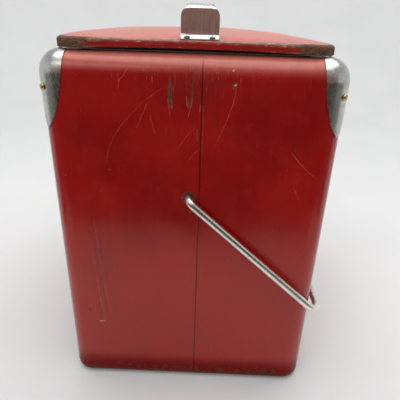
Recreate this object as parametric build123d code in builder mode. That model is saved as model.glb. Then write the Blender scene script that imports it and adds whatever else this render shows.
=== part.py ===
from build123d import *
import math
import os

# Steel picnic cooler: painted sheet-steel case on a pressed base, galvanised
# tank, lift-off domed lid with a bracket at each end, four bright corner caps,
# and a bent-rod bail that swings from one long side over the top to the other.
# Frame: origin at the middle of the underside, +Z up, X across the narrow way,
# Y along the length.  The end with the sheet seam faces -Y.  Millimetres.

# ---------------------------------------------------------------- dimensions
W = 330.0            # width across the end face, at its corners
CROWN = 5.0          # how far each long side panel bows out at its middle
D = 457.0            # length, end face to end face
H = 448.0            # height of the deck that carries the lid
R_V = 25.0           # radius of the vertical corners
R_TOP = 24.0         # radius of the shoulder into the deck
R_BASE = 12.0        # radius of the edge round the base
T_SHELL = 0.8        # case sheet
Z_PAN = 15.0         # top edge of the base pan outside
SEAM_X = 10.0        # where the sheet is joined on the end face

MOUTH_IN = 43.0      # inset of the mouth from the case outline
R_MOUTH = 26.0       # plan radius of the mouth
T_TANK = 0.7         # tank sheet
TANK_FLOOR = 44.0    # height of the tank's floor, inside
R_TANK_FLOOR = 4.0   # edge round the tank's floor
TANK_LIP = 11.0      # width of the tank's lip on the deck
LIP_T = 1.0          # height of that lip over the deck

LID_W = 301.0        # lid across
LID_D = 428.0        # lid along
LID_R = 28.0         # lid plan corner radius
LID_Z0 = 452.4       # underside of the rim
LID_Z1 = 460.2       # top of the rim, where the dome starts
LID_TOP = 472.4      # crown of the dome
T_LID = 0.8

PIVOT_X = -2.3       # bail pivot, across
PIVOT_Z = 290.6      # bail pivot, height
ROD_R = 4.75         # bail rod radius
ARM_OUT = 11.0       # arm's centre line off the end face
BAIL_L = 238.5       # pivot axis to crossbar axis
REST_GAP = 0.25      # crossbar to side panel at rest
R_PIVOT_BEND = 9.8
R_BAIL_CORNER = 30.0

CLIP_X = 5.2         # middle of the lid bracket, across
CLIP_W = 40.5
CLIP_T = 1.4

CAP_T = 1.3          # corner cap sheet
CAP_TIP = H - 81.0   # height of the cap's point
SCREW_Z = H - 37.0   # height of the cap screw

DRAIN_X = -80.0
DRAIN_Z = 58.5
TUBE_R = 7.5         # drain tube

hw, hd = W / 2, D / 2
os.makedirs("parts", exist_ok=True)


def write(part, name):
    part.label = name
    export_step(part, f"parts/{name}.step")


def case_outline(inset):
    """Edges of the case's plan: straight ends, long sides bowed by CROWN."""
    with BuildLine() as outline:
        xc = hw - 0.6 - inset
        xm = hw + CROWN - inset
        yd = hd - inset
        Line((-xc, -yd), (xc, -yd))
        ThreePointArc((xc, -yd), (xm, 0), (xc, yd))
        Line((xc, yd), (-xc, yd))
        ThreePointArc((-xc, yd), (-xm, 0), (-xc, -yd))
    return outline


def case_form(inset, z0, z1, r_top, r_base):
    """Solid of the case's outside, drawn in by inset, with rounded edges."""
    with BuildPart() as form:
        with BuildSketch(Plane.XY.offset(z0)) as plan:
            with BuildLine():
                add(case_outline(inset).line)
            make_face()
            fillet(plan.vertices(), R_V - inset)
        extrude(amount=z1 - z0)
        if r_top:
            fillet(form.faces().sort_by(Axis.Z)[-1].edges(), r_top)
        if r_base:
            fillet(form.faces().sort_by(Axis.Z)[0].edges(), r_base)
    return form.part


def plan_block(w, d, r, z0, z1):
    """Upright block with rounded plan corners."""
    with BuildPart() as block:
        with BuildSketch(Plane.XY.offset(z0)):
            RectangleRounded(w, d, r)
        extrude(amount=z1 - z0)
    return block.part


# ---------------------------------------------------------------- shared forms
outer_form = case_form(0, 0, H, R_TOP, R_BASE)
inner_form = case_form(T_SHELL, T_SHELL, H - T_SHELL, R_TOP - T_SHELL, R_BASE - T_SHELL)
mouth_w, mouth_d = W - 2 * MOUTH_IN, D - 2 * MOUTH_IN
ends = (-1, 1)
corners = [(sx, sy) for sy in ends for sx in ends]
diag = R_V * math.sqrt(0.5)
corner_x, corner_y = hw - R_V + 0.45, hd - R_V

# the cap screws stand on the corner diagonals, square to the corner
screw_planes = [
    Plane(
        origin=(sx * (corner_x + diag - 0.35), sy * (corner_y + diag - 0.35), SCREW_Z),
        x_dir=(0, 0, 1),
        z_dir=(sx, sy, 0),
    )
    for sx, sy in corners
]
# the bail's pivot planes look outwards from the two end faces
pivot_planes = [
    Plane(origin=(PIVOT_X, s * hd, PIVOT_Z), x_dir=(-s, 0, 0), z_dir=(0, s, 0)) for s in ends
]
drain_plane = Plane(origin=(DRAIN_X, hd, DRAIN_Z), x_dir=(-1, 0, 0), z_dir=(0, 1, 0))

# ---------------------------------------------------------------- case shell
skin_form = case_form(0.4, 0.4, H - 0.4, R_TOP - 0.4, R_BASE - 0.4)
with BuildPart() as outer_shell:
    add(outer_form)
    add(inner_form, mode=Mode.SUBTRACT)
    split(bisect_by=Plane.XY.offset(Z_PAN), keep=Keep.TOP)
    # mouth in the deck
    with BuildSketch(Plane.XY.offset(H - 10)):
        RectangleRounded(mouth_w + 1.0, mouth_d + 1.0, R_MOUTH + 0.5)
    extrude(amount=20, mode=Mode.SUBTRACT)
    # joint line of the wrapped sheet, a shallow step down the end face
    with BuildSketch(Plane.XY) as seam_strip:
        with Locations((SEAM_X, -hd + 10)):
            Rectangle(0.8, 21)
    seam_cut = extrude(amount=H + 1, mode=Mode.PRIVATE)
    add(seam_cut - skin_form, mode=Mode.SUBTRACT)
    for plane in pivot_planes:
        with BuildSketch(plane.offset(-5)):
            Circle(6.1)
        extrude(amount=10, mode=Mode.SUBTRACT)
    for plane in screw_planes:
        with BuildSketch(plane.offset(-5)):
            Circle(1.6)
        extrude(amount=10, mode=Mode.SUBTRACT)
    with BuildSketch(drain_plane.offset(-5)):
        Circle(TUBE_R + 0.1)
    extrude(amount=10, mode=Mode.SUBTRACT)
write(outer_shell.part, "outer_shell")

# ---------------------------------------------------------------- base pan
lip_out = case_form(T_SHELL + 0.05, T_SHELL + 0.05, 60, 0, R_BASE - T_SHELL - 0.05)
lip_in = case_form(2 * T_SHELL + 0.05, T_SHELL, 60, 0, R_BASE - 2 * T_SHELL - 0.05)
with BuildPart() as base_pan:
    add(outer_form)
    split(bisect_by=Plane.XY.offset(Z_PAN), keep=Keep.BOTTOM)
    lip = split(lip_out, bisect_by=Plane.XY.offset(Z_PAN + 10), keep=Keep.BOTTOM, mode=Mode.PRIVATE)
    add(lip)
    add(lip_in, mode=Mode.SUBTRACT)
write(base_pan.part, "base_pan")

# ---------------------------------------------------------------- tank
with BuildPart() as tank_hollow:
    with BuildSketch(Plane.XY.offset(TANK_FLOOR)):
        RectangleRounded(mouth_w - 2 * T_TANK, mouth_d - 2 * T_TANK, R_MOUTH - T_TANK)
    extrude(amount=H)
    fillet(tank_hollow.faces().sort_by(Axis.Z)[0].edges(), R_TANK_FLOOR - T_TANK)

with BuildPart() as tank:
    with BuildSketch(Plane.XY.offset(TANK_FLOOR - T_TANK)):
        RectangleRounded(mouth_w, mouth_d, R_MOUTH)
    extrude(amount=H + LIP_T - (TANK_FLOOR - T_TANK))
    fillet(tank.faces().sort_by(Axis.Z)[0].edges(), R_TANK_FLOOR)
    with BuildSketch(Plane.XY.offset(H)):
        RectangleRounded(mouth_w + 2 * TANK_LIP, mouth_d + 2 * TANK_LIP, R_MOUTH + TANK_LIP)
    extrude(amount=LIP_T)
    add(tank_hollow.part, mode=Mode.SUBTRACT)
    with BuildSketch(drain_plane.offset(-60)):
        Circle(TUBE_R + 0.1)
    extrude(amount=30, mode=Mode.SUBTRACT)
write(tank.part, "tank")

# ---------------------------------------------------------------- insulation
fill_form = case_form(3.0, 3.0, H - 3.0, R_TOP - 3.0, R_BASE - 3.0)
tank_room = plan_block(mouth_w + 1.0, mouth_d + 1.0, R_MOUTH + 0.5, TANK_FLOOR - T_TANK - 0.5, H + 10)
with BuildPart() as wall_insulation:
    add(fill_form)
    split(bisect_by=Plane.XY.offset(TANK_FLOOR - T_TANK - 0.5), keep=Keep.TOP)
    add(tank_room, mode=Mode.SUBTRACT)
    for plane in pivot_planes:
        with BuildSketch(plane.offset(-33)):
            Circle(16)
        extrude(amount=34, mode=Mode.SUBTRACT)
        with BuildSketch(plane.offset(-6)):
            RectangleRounded(92, 72, 8)
        extrude(amount=7, mode=Mode.SUBTRACT)
    for plane in screw_planes:
        with BuildSketch(plane.offset(-15)):
            Circle(5)
        extrude(amount=16, mode=Mode.SUBTRACT)
    with BuildSketch(drain_plane.offset(-60)):
        Circle(TUBE_R + 0.5)
    extrude(amount=60, mode=Mode.SUBTRACT)
    with BuildSketch(drain_plane.offset(-6)):
        Circle(17)
    extrude(amount=7, mode=Mode.SUBTRACT)
write(wall_insulation.part, "wall_insulation")

with BuildPart() as floor_insulation:
    add(fill_form)
    split(bisect_by=Plane.XY.offset(TANK_FLOOR - T_TANK - 0.5), keep=Keep.BOTTOM)
write(floor_insulation.part, "floor_insulation")

# ---------------------------------------------------------------- pivots
# reinforcing plate spot-welded behind each end wall, with the bail's hole in it
for plane, name in zip(pivot_planes, ("front_pivot_plate", "rear_pivot_plate")):
    with BuildPart() as pivot_plate:
        with BuildSketch(plane.offset(-T_SHELL - 2.0)):
            RectangleRounded(84, 64, 6)
            Circle(8.0, mode=Mode.SUBTRACT)
        extrude(amount=2.0)
    write(pivot_plate.part, name)

# flanged steel bush, pressed through the plate from inside
for plane, name in zip(pivot_planes, ("front_pivot_bush", "rear_pivot_bush")):
    with BuildPart() as pivot_bush:
        with BuildSketch(plane.offset(-16.8)):
            Circle(8.0)
        extrude(amount=16.0)
        with BuildSketch(plane.offset(-T_SHELL - 2.0 - 1.5)):
            Circle(13.0)
        extrude(amount=1.5)
        with BuildSketch(plane.offset(-17)):
            Circle(ROD_R + 0.05)
        extrude(amount=18, mode=Mode.SUBTRACT)
    write(pivot_bush.part, name)

# ---------------------------------------------------------------- corner caps
cap_outer = case_form(-CAP_T - 0.1, 200, H + CAP_T + 0.1, R_TOP + CAP_T + 0.1, 0)
cap_inner = case_form(-0.1, 190, H + 0.1, R_TOP + 0.1, 0)


def cap_outline():
    """Half-leaf, in the plane of a face: nearly upright inner edge that sweeps
    out to the point on the corner's diagonal."""
    with BuildLine() as edge:
        top = H + 8.0
        up = Line((hw - 30.4, top), (hw - 30.2, H - 4))
        sweep_in = Spline(
            (hw - 30.2, H - 4),
            (hw - 27.6, H - 29),
            (hw - 21.2, H - 54.7),
            (hw - 14.5, H - 70),
            (corner_x + diag + 0.6, CAP_TIP),
            tangents=((0.02, -1), (0.75, -1)),
        )
        Line(sweep_in @ 1, (hw + 40, CAP_TIP))
        Line((hw + 40, CAP_TIP), (hw + 40, top))
        Line((hw + 40, top), (hw - 30.4, top))
    return edge


def cap(sx, sy):
    with BuildPart() as corner_cap:
        add(cap_outer)
        add(cap_inner, mode=Mode.SUBTRACT)
        with BuildSketch(Plane.XZ.offset(-150)) as front_leaf:
            with BuildLine():
                add(cap_outline().line)
            make_face()
        extrude(amount=-150, mode=Mode.INTERSECT)
        # the same leaf seen from the long side, shifted to that face
        with BuildSketch(Plane.YZ) as side_leaf:
            with BuildLine():
                add(Location((hd - hw, 0, 0)) * cap_outline().line)
            make_face()
        extrude(amount=400, mode=Mode.INTERSECT)
        # the deck end of the cap stops short of the tank's lip
        with BuildSketch(Plane.XY.offset(H - 8)):
            with Locations((hw - 34, hd - 34)):
                Rectangle(24, 24)
        extrude(amount=20, mode=Mode.SUBTRACT)
        with BuildSketch(screw_planes[3].offset(-5)):
            Circle(1.6)
        extrude(amount=15, mode=Mode.SUBTRACT)
    part = corner_cap.part
    if sx < 0:
        part = mirror(part, about=Plane.YZ)
    if sy < 0:
        part = mirror(part, about=Plane.XZ)
    return part


for sx, sy, name in (
    (-1, -1, "front_left_cap"),
    (1, -1, "front_right_cap"),
    (-1, 1, "rear_left_cap"),
    (1, 1, "rear_right_cap"),
):
    write(cap(sx, sy), name)

# one brass round-head screw on each corner line
with BuildPart() as cap_screws:
    for plane in screw_planes:
        with BuildSketch(plane.offset(-12)):
            Circle(1.5)
        extrude(amount=12 + CAP_T + 1.0)
        with BuildSketch(plane.offset(CAP_T + 0.85)):
            Circle(3.5)
        head = extrude(amount=2.7)
        fillet(head.faces().sort_by(Axis(plane.origin, plane.z_dir))[-1].edges(), 2.2)
        with BuildSketch(plane.offset(CAP_T + 0.85 + 1.9)):
            Rectangle(8, 0.9)
        extrude(amount=2, mode=Mode.SUBTRACT)
write(cap_screws.part, "cap_screws")

# ---------------------------------------------------------------- lid
rim_h = LID_Z1 - LID_Z0
crown = LID_TOP - LID_Z1


def dome(inset, drop, z_rim):
    """Lid solid: upright rim, then a shallow pillow lofted to the crown."""
    with BuildPart() as d:
        with BuildSketch(Plane.XY.offset(z_rim)):
            RectangleRounded(LID_W - 2 * inset, LID_D - 2 * inset, LID_R - inset)
        extrude(amount=LID_Z1 - drop - z_rim)
        for dx, dz, r in ((0, 0, LID_R), (26, 0.49, 40), (62, 0.83, 55), (118, 1.0, 26)):
            with BuildSketch(Plane.XY.offset(LID_Z1 - drop + crown * dz)):
                RectangleRounded(
                    LID_W - 2 * (dx + inset), LID_D - 2 * (dx + inset), r - inset
                )
        loft()
    return d.part


with BuildPart() as lid_skin:
    add(dome(0, 0, LID_Z0))
    add(dome(T_LID, T_LID, LID_Z0 - 5), mode=Mode.SUBTRACT)
    # the rim's lower edge is hemmed inwards
    with BuildSketch(Plane.XY.offset(LID_Z0)):
        RectangleRounded(LID_W - 1.0, LID_D - 1.0, LID_R - 0.5)
        RectangleRounded(LID_W - 4.4, LID_D - 4.4, LID_R - 2.2, mode=Mode.SUBTRACT)
    extrude(amount=3.2)
PLUG_W, PLUG_D, PLUG_R = mouth_w - 9.0, mouth_d - 9.0, R_MOUTH - 4.5
PLUG_Z = H - 12.0
FLANGE_Z = LID_Z0 + 0.8
with BuildPart() as lid_pan:
    with BuildSketch(Plane.XY.offset(FLANGE_Z)):
        RectangleRounded(LID_W - 4.8, LID_D - 4.8, LID_R - 2.4)
    extrude(amount=T_TANK)
    with BuildSketch(Plane.XY.offset(PLUG_Z)):
        RectangleRounded(PLUG_W, PLUG_D, PLUG_R)
    extrude(amount=FLANGE_Z + T_TANK - PLUG_Z)
    with BuildSketch(Plane.XY.offset(PLUG_Z + T_TANK)):
        RectangleRounded(PLUG_W - 2 * T_TANK, PLUG_D - 2 * T_TANK, PLUG_R - T_TANK)
    extrude(amount=40, mode=Mode.SUBTRACT)
write(lid_pan.part, "lid_pan")

with BuildPart() as lid_insulation:
    with BuildSketch(Plane.XY.offset(PLUG_Z + T_TANK + 0.3)):
        RectangleRounded(PLUG_W - 4, PLUG_D - 4, PLUG_R - 2)
    extrude(amount=464.0 - PLUG_Z - T_TANK - 0.3)
write(lid_insulation.part, "lid_insulation")

with BuildPart() as lid_gasket:
    with BuildSketch(Plane.XY.offset(H + LIP_T)):
        RectangleRounded(mouth_w + 2 * TANK_LIP - 2, mouth_d + 2 * TANK_LIP - 2, R_MOUTH + TANK_LIP - 1)
        RectangleRounded(mouth_w + 3, mouth_d + 3, R_MOUTH + 1.5, mode=Mode.SUBTRACT)
    extrude(amount=FLANGE_Z - H - LIP_T)
write(lid_gasket.part, "lid_gasket")

# lid bracket: a flange lying on the slope, an upright plate, a top that ramps up
# and away from the flange, and a tail turned down behind.  Drawn in side view
# for the end at -Y: u runs in from the end face, v is height.
PL_U = 25.5                            # plate's mid-plane, in from the end face
FL_U0 = 16.4                           # flange's toe
RIVET_U = 20.2                         # rivets, in from the end face
RIVET_DX = 13.2                        # rivets, each side of the bracket's middle
SLOPE_U = 20.9                         # the flange is tangent to the lid here

lid_faces = lid_skin.part
touch = lid_faces.find_intersection_points(Axis((CLIP_X, -(hd - SLOPE_U), 600), (0, 0, -1)))[0]
touch_z, touch_n = touch[0].Z, touch[1]
slope = abs(touch_n.Y / touch_n.Z)
FL_GAP = CLIP_T / 2 * math.sqrt(1 + slope**2) + 0.06


def flange_v(u):
    return touch_z + FL_GAP + slope * (u - SLOPE_U)


with BuildSketch(Plane.XY) as clip_profile:
    with BuildLine() as clip_line:
        FilletPolyline(
            (FL_U0, flange_v(FL_U0)),
            (PL_U, flange_v(PL_U)),
            (PL_U, H + 43.2),
            (PL_U + 9.5, H + 47.2),
            (PL_U + 15.0, H + 41.0),
            (PL_U + 15.0, H + 33.0),
            radius=2.6,
        )
    trace(line_width=CLIP_T)


def rivet_planes(end):
    """Planes on the flange's upper side, square to the slope."""
    v = flange_v(RIVET_U) + CLIP_T / 2 * math.sqrt(1 + slope**2)
    return [
        Plane(
            origin=(CLIP_X + dx, end * (hd - RIVET_U), v),
            x_dir=(1, 0, 0),
            z_dir=(0, end * slope, 1),
        )
        for dx in (-RIVET_DX, RIVET_DX)
    ]


RIVET_R = 1.6


def clip(end):
    """Bracket at one end of the lid; end is -1 for the front, +1 for the rear."""
    with BuildPart() as bracket:
        side = Plane(origin=(CLIP_X, end * hd, 0), x_dir=(0, -end, 0), z_dir=(-end, 0, 0))
        with BuildSketch(side) as s:
            add(clip_profile.sketch)
        extrude(amount=CLIP_W / 2, both=True)
        # rounded shoulders of the plate and rounded toes of the flange
        with BuildSketch(Plane(origin=(CLIP_X, 0, 0), x_dir=(1, 0, 0), z_dir=(0, -1, 0))) as front:
            with BuildLine():
                z0, z1, zs = H + 10, H + 49, H + 39
                Polyline(
                    (-CLIP_W / 2, z0), (CLIP_W / 2, z0), (CLIP_W / 2, zs), (CLIP_W / 2 - 6, z1),
                    (-CLIP_W / 2 + 6, z1), (-CLIP_W / 2, zs), close=True,
                )
            make_face()
            fillet(front.vertices().group_by(Axis.Y)[-1], 4)
            fillet(front.vertices().filter_by_position(Axis.Y, zs - 1, zs + 1), 12)
        extrude(amount=300, both=True, mode=Mode.INTERSECT)
        # rivet holes through the flange
        for plane in rivet_planes(end):
            with BuildSketch(plane.offset(-4)):
                Circle(RIVET_R)
            extrude(amount=5.5, mode=Mode.SUBTRACT)
    return bracket.part


for end, name in ((-1, "front_lid_clip"), (1, "rear_lid_clip")):
    write(clip(end), name)

# rivets: low domed heads on the flange, tails set over behind the lid sheet
with BuildPart() as clip_rivets:
    for end in ends:
        for plane in rivet_planes(end):
            with BuildSketch(plane.offset(-4.6)):
                Circle(RIVET_R)
            extrude(amount=4.7)
            with BuildSketch(plane):
                Circle(3.0)
            head = extrude(amount=1.5)
            fillet(head.faces().sort_by(Axis(plane.origin, plane.z_dir))[-1].edges(), 1.3)
            with BuildSketch(plane.offset(-4.6)):
                Circle(2.6)
            extrude(amount=1.2)
write(clip_rivets.part, "clip_rivets")

with BuildPart() as pierced_skin:
    add(lid_skin.part)
    for end in ends:
        for plane in rivet_planes(end):
            with BuildSketch(plane.offset(-4.6)):
                Circle(RIVET_R)
            extrude(amount=5.0, mode=Mode.SUBTRACT)
write(pierced_skin.part, "lid_skin")

# ---------------------------------------------------------------- bail
cross_x = hw + CROWN + ROD_R + REST_GAP
drop = math.sqrt(BAIL_L**2 - (cross_x - PIVOT_X) ** 2)
cross_z = PIVOT_Z - drop
arm_y = hd + ARM_OUT
stub = hd - 24
with BuildPart() as bail_rod:
    with BuildLine() as bail_path:
        FilletPolyline(
            (PIVOT_X, -stub, PIVOT_Z),
            (PIVOT_X, -arm_y, PIVOT_Z),
            (cross_x, -arm_y, cross_z),
            (cross_x, arm_y, cross_z),
            (PIVOT_X, arm_y, PIVOT_Z),
            (PIVOT_X, stub, PIVOT_Z),
            radius=[R_PIVOT_BEND, R_BAIL_CORNER, R_BAIL_CORNER, R_PIVOT_BEND],
        )
    with BuildSketch(Plane(origin=(PIVOT_X, -stub, PIVOT_Z), z_dir=(0, -1, 0))):
        Circle(ROD_R)
    sweep(path=bail_path.line)
write(bail_rod.part, "bail_rod")
print("bail: crossbar at", round(cross_x, 3), round(cross_z, 3))
rest_angle = math.degrees(math.asin(drop / BAIL_L))
other = math.degrees(math.acos((cross_x + PIVOT_X) / BAIL_L))
print("bail rests", round(rest_angle, 3), "below level; full swing", round(180 + rest_angle + other, 3))

# washer and push-on retainer on each inner end of the rod
for offset, thick, radius, name in ((-18.3, 1.2, 9.5, "bail_washers"), (-20.4, 2.1, 7.5, "bail_retainers")):
    with BuildPart() as rings:
        for plane in pivot_planes:
            with BuildSketch(plane.offset(offset)):
                Circle(radius)
                Circle(ROD_R, mode=Mode.SUBTRACT)
            extrude(amount=thick)
    write(rings.part, name)

# ---------------------------------------------------------------- drain
with BuildPart() as drain_tube:
    with BuildSketch(drain_plane.offset(-46.7)):
        Circle(10.5)
    extrude(amount=1.5)
    with BuildSketch(drain_plane.offset(-46.7)):
        Circle(TUBE_R)
    extrude(amount=46.7 + 15.0)
    with BuildSketch(drain_plane.offset(-50)):
        Circle(5.5)
    extrude(amount=80, mode=Mode.SUBTRACT)
write(drain_tube.part, "drain_tube")

with BuildPart() as drain_seal:
    with BuildSketch(drain_plane.offset(-45.2)):
        Circle(10.5)
        Circle(TUBE_R, mode=Mode.SUBTRACT)
    extrude(amount=1.5)
write(drain_seal.part, "drain_seal")

with BuildPart() as drain_nut:
    with BuildSketch(drain_plane):
        RegularPolygon(radius=12.0, side_count=6, major_radius=False)
        Circle(TUBE_R, mode=Mode.SUBTRACT)
    extrude(amount=4.5)
write(drain_nut.part, "drain_nut")

with BuildPart() as drain_cap:
    with BuildSketch(drain_plane.offset(5.5)):
        Circle(11.5)
    extrude(amount=12.5)
    fillet(drain_cap.faces().sort_by(Axis.Y)[-1].edges(), 1.5)
    with BuildSketch(drain_plane.offset(5.0)):
        Circle(TUBE_R + 0.05)
    extrude(amount=10.5, mode=Mode.SUBTRACT)
write(drain_cap.part, "drain_cap")
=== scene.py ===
import math

import bmesh
import bpy
import numpy as np
from mathutils import Matrix, Vector
from mathutils.bvhtree import BVHTree


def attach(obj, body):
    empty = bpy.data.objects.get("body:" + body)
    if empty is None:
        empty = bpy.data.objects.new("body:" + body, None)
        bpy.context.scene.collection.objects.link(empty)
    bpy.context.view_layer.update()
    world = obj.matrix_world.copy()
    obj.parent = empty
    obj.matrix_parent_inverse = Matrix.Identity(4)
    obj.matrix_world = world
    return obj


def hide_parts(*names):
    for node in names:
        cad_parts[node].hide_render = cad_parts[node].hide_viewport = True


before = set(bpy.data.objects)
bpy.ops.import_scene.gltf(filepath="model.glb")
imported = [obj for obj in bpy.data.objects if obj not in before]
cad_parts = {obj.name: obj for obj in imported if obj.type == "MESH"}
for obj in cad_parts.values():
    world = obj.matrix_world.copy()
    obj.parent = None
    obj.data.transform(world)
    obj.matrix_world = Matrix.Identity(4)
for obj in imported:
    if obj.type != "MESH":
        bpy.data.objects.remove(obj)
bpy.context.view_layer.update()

scene = bpy.context.scene
scene.view_settings.view_transform = "Standard"
scene.view_settings.look = "None"
MM = 0.001


# ================================================================ camera
def aim(yaw, pitch, roll):
    yaw, pitch, roll = (math.radians(a) for a in (yaw, pitch, roll))
    ahead = Vector((math.sin(yaw) * math.cos(pitch), math.cos(yaw) * math.cos(pitch), -math.sin(pitch)))
    side = Vector((math.cos(yaw), -math.sin(yaw), 0))
    over = side.cross(ahead)
    side, over = math.cos(roll) * side + math.sin(roll) * over, -math.sin(roll) * side + math.cos(roll) * over
    return Matrix((side, over, -ahead)).transposed().to_4x4()


cam_data = bpy.data.cameras.new("camera")
cam_data.sensor_width = 36
cam_data.lens = 388 / 400 * 36
cam_data.clip_start = 0.01
camera = bpy.data.objects.new("camera", cam_data)
scene.collection.objects.link(camera)
view = aim(-0.85, 24.914, 1.907)
view.translation = Vector((0.01747, -0.64118, 0.48031))
camera.matrix_world = view
scene.camera = camera


# ================================================================ node helper
class Tree:
    """A material under construction. Positions are in millimetres of the row frame."""

    def __init__(self, name):
        self.mat = bpy.data.materials.new(name)
        self.mat.use_nodes = True
        self.nt = self.mat.node_tree
        self.bsdf = self.nt.nodes["Principled BSDF"]
        tc = self.nt.nodes.new("ShaderNodeTexCoord")
        self.p = self.v("SCALE", tc.outputs["Object"], scale=1000.0)
        self.x, self.y, self.z = self.sep(self.p)
        self.nx, self.ny, self.nz = self.sep(tc.outputs["Normal"])

    def link(self, socket, value):
        if isinstance(value, bpy.types.NodeSocket):
            self.nt.links.new(value, socket)
        elif value is not None:
            if isinstance(value, tuple) and len(value) == 3 and len(socket.default_value) == 4:
                value = (*value, 1.0)
            socket.default_value = value

    def m(self, op, a, b=None, c=None, clamp=False):
        n = self.nt.nodes.new("ShaderNodeMath")
        n.operation, n.use_clamp = op, clamp
        for i, v in enumerate((a, b, c)):
            self.link(n.inputs[i], v)
        return n.outputs[0]

    def v(self, op, a, b=None, scale=None):
        n = self.nt.nodes.new("ShaderNodeVectorMath")
        n.operation = op
        self.link(n.inputs[0], a)
        self.link(n.inputs[1], b)
        if scale is not None:
            self.link(n.inputs["Scale"], scale)
        return n.outputs["Value"] if op in ("LENGTH", "DISTANCE", "DOT_PRODUCT") else n.outputs["Vector"]

    def sep(self, a):
        n = self.nt.nodes.new("ShaderNodeSeparateXYZ")
        self.link(n.inputs[0], a)
        return n.outputs[0], n.outputs[1], n.outputs[2]

    def vec(self, x, y, z):
        n = self.nt.nodes.new("ShaderNodeCombineXYZ")
        for i, v in enumerate((x, y, z)):
            self.link(n.inputs[i], v)
        return n.outputs[0]

    def ramp(self, v, a, b, c=0.0, d=1.0, smooth=True):
        n = self.nt.nodes.new("ShaderNodeMapRange")
        n.interpolation_type = "SMOOTHSTEP" if smooth else "LINEAR"
        for i, u in enumerate((v, a, b, c, d)):
            self.link(n.inputs[i], u)
        return n.outputs[0]

    def noise(self, vec, size, detail=2.0, rough=0.5, dist=0.0):
        """Noise from 0 to 1 whose features are about size millimetres."""
        n = self.nt.nodes.new("ShaderNodeTexNoise")
        self.link(n.inputs["Vector"], vec)
        for k, v in (("Scale", 1.0 / size), ("Detail", detail), ("Roughness", rough), ("Distortion", dist)):
            self.link(n.inputs[k], v)
        return n.outputs[0]

    def cells(self, vec, size, feature="F1", rand=1.0):
        n = self.nt.nodes.new("ShaderNodeTexVoronoi")
        n.feature = feature
        self.link(n.inputs["Vector"], vec)
        self.link(n.inputs["Scale"], 1.0 / size)
        self.link(n.inputs["Randomness"], rand)
        return n

    def mix(self, f, a, b):
        n = self.nt.nodes.new("ShaderNodeMix")
        n.data_type = "RGBA"
        for i, v in ((0, f), (6, a), (7, b)):
            self.link(n.inputs[i], v)
        return n.outputs[2]

    def mixf(self, f, a, b):
        n = self.nt.nodes.new("ShaderNodeMix")
        for i, v in ((0, f), (2, a), (3, b)):
            self.link(n.inputs[i], v)
        return n.outputs[0]

    def attr(self, name):
        n = self.nt.nodes.new("ShaderNodeAttribute")
        n.attribute_name = name
        return n.outputs["Fac"]

    def curve(self, v, pts):
        n = self.nt.nodes.new("ShaderNodeFloatCurve")
        self.link(n.inputs["Value"], v)
        c = n.mapping.curves[0]
        c.points[0].location = pts[0]
        c.points[-1].location = pts[-1]
        for q in pts[1:-1]:
            c.points.new(*q)
        n.mapping.update()
        return n.outputs[0]

    def stroke(self, x, z, pts, width, soft=0.35, ends=(0.12, 0.12)):
        """A scratch in the plane of an end face through pts, from 0 to 1."""
        pts = sorted(pts, key=lambda q: q[1])
        z0, z1 = pts[0][1], pts[-1][1]
        x0, x1 = min(q[0] for q in pts) - 1.0, max(q[0] for q in pts) + 1.0
        t = self.ramp(z, z0, z1, smooth=False)
        line = self.curve(t, [((q[1] - z0) / (z1 - z0), (q[0] - x0) / (x1 - x0)) for q in pts])
        off = self.m("ABSOLUTE", self.m("SUBTRACT", x, self.ramp(line, 0, 1, x0, x1, smooth=False)))
        there = self.curve(t, [(0, 0), (ends[0], 0.95), (1 - ends[1], 0.95), (1, 0)])
        reach = self.m("MULTIPLY", there, width + soft)
        return self.ramp(off, reach, self.m("SUBTRACT", reach, 2 * soft))

    def strokes(self, x, z, specs):
        out = None
        for pts, width, *more in specs:
            one = self.stroke(x, z, pts, width, **(more[0] if more else {}))
            out = one if out is None else self.m("MAXIMUM", out, one)
        return out

    def most(self, *vs):
        out = vs[0]
        for v in vs[1:]:
            out = self.m("MAXIMUM", out, v)
        return out

    def bump(self, height, strength=1.0, distance=0.001, normal=None):
        n = self.nt.nodes.new("ShaderNodeBump")
        self.link(n.inputs["Strength"], strength)
        self.link(n.inputs["Distance"], distance)
        self.link(n.inputs["Height"], height)
        self.link(n.inputs["Normal"], normal)
        return n.outputs[0]

    def finish(self, color, rough, metal=0.0, normal=None, **more):
        for k, v in (("Base Color", color), ("Roughness", rough), ("Metallic", metal), ("Normal", normal), *more.items()):
            self.link(self.bsdf.inputs[k], v)
        return self.mat


RED = (0.300, 0.0014, 0.0010)
RED_DEEP = (0.215, 0.0009, 0.0007)
CHALK = (0.46, 0.115, 0.095)
PRIMER = (0.042, 0.022, 0.009)
WORN = (0.185, 0.088, 0.045)
RUST = (0.115, 0.040, 0.016)
BARE = (0.40, 0.345, 0.28)


def hairlines(t, turn, size, thin):
    """Broken hairline scratches that run one way, from 0 to 1."""
    n = t.nt.nodes.new("ShaderNodeMapping")
    t.link(n.inputs["Vector"], t.p)
    n.inputs["Rotation"].default_value = turn
    n.inputs["Scale"].default_value = (1.0, 1.0, 0.035)
    field = t.noise(n.outputs[0], size, 1.0, 0.4)
    band = t.m("ABSOLUTE", t.m("SUBTRACT", field, 0.5))
    return t.ramp(band, thin, 0.0)


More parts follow.
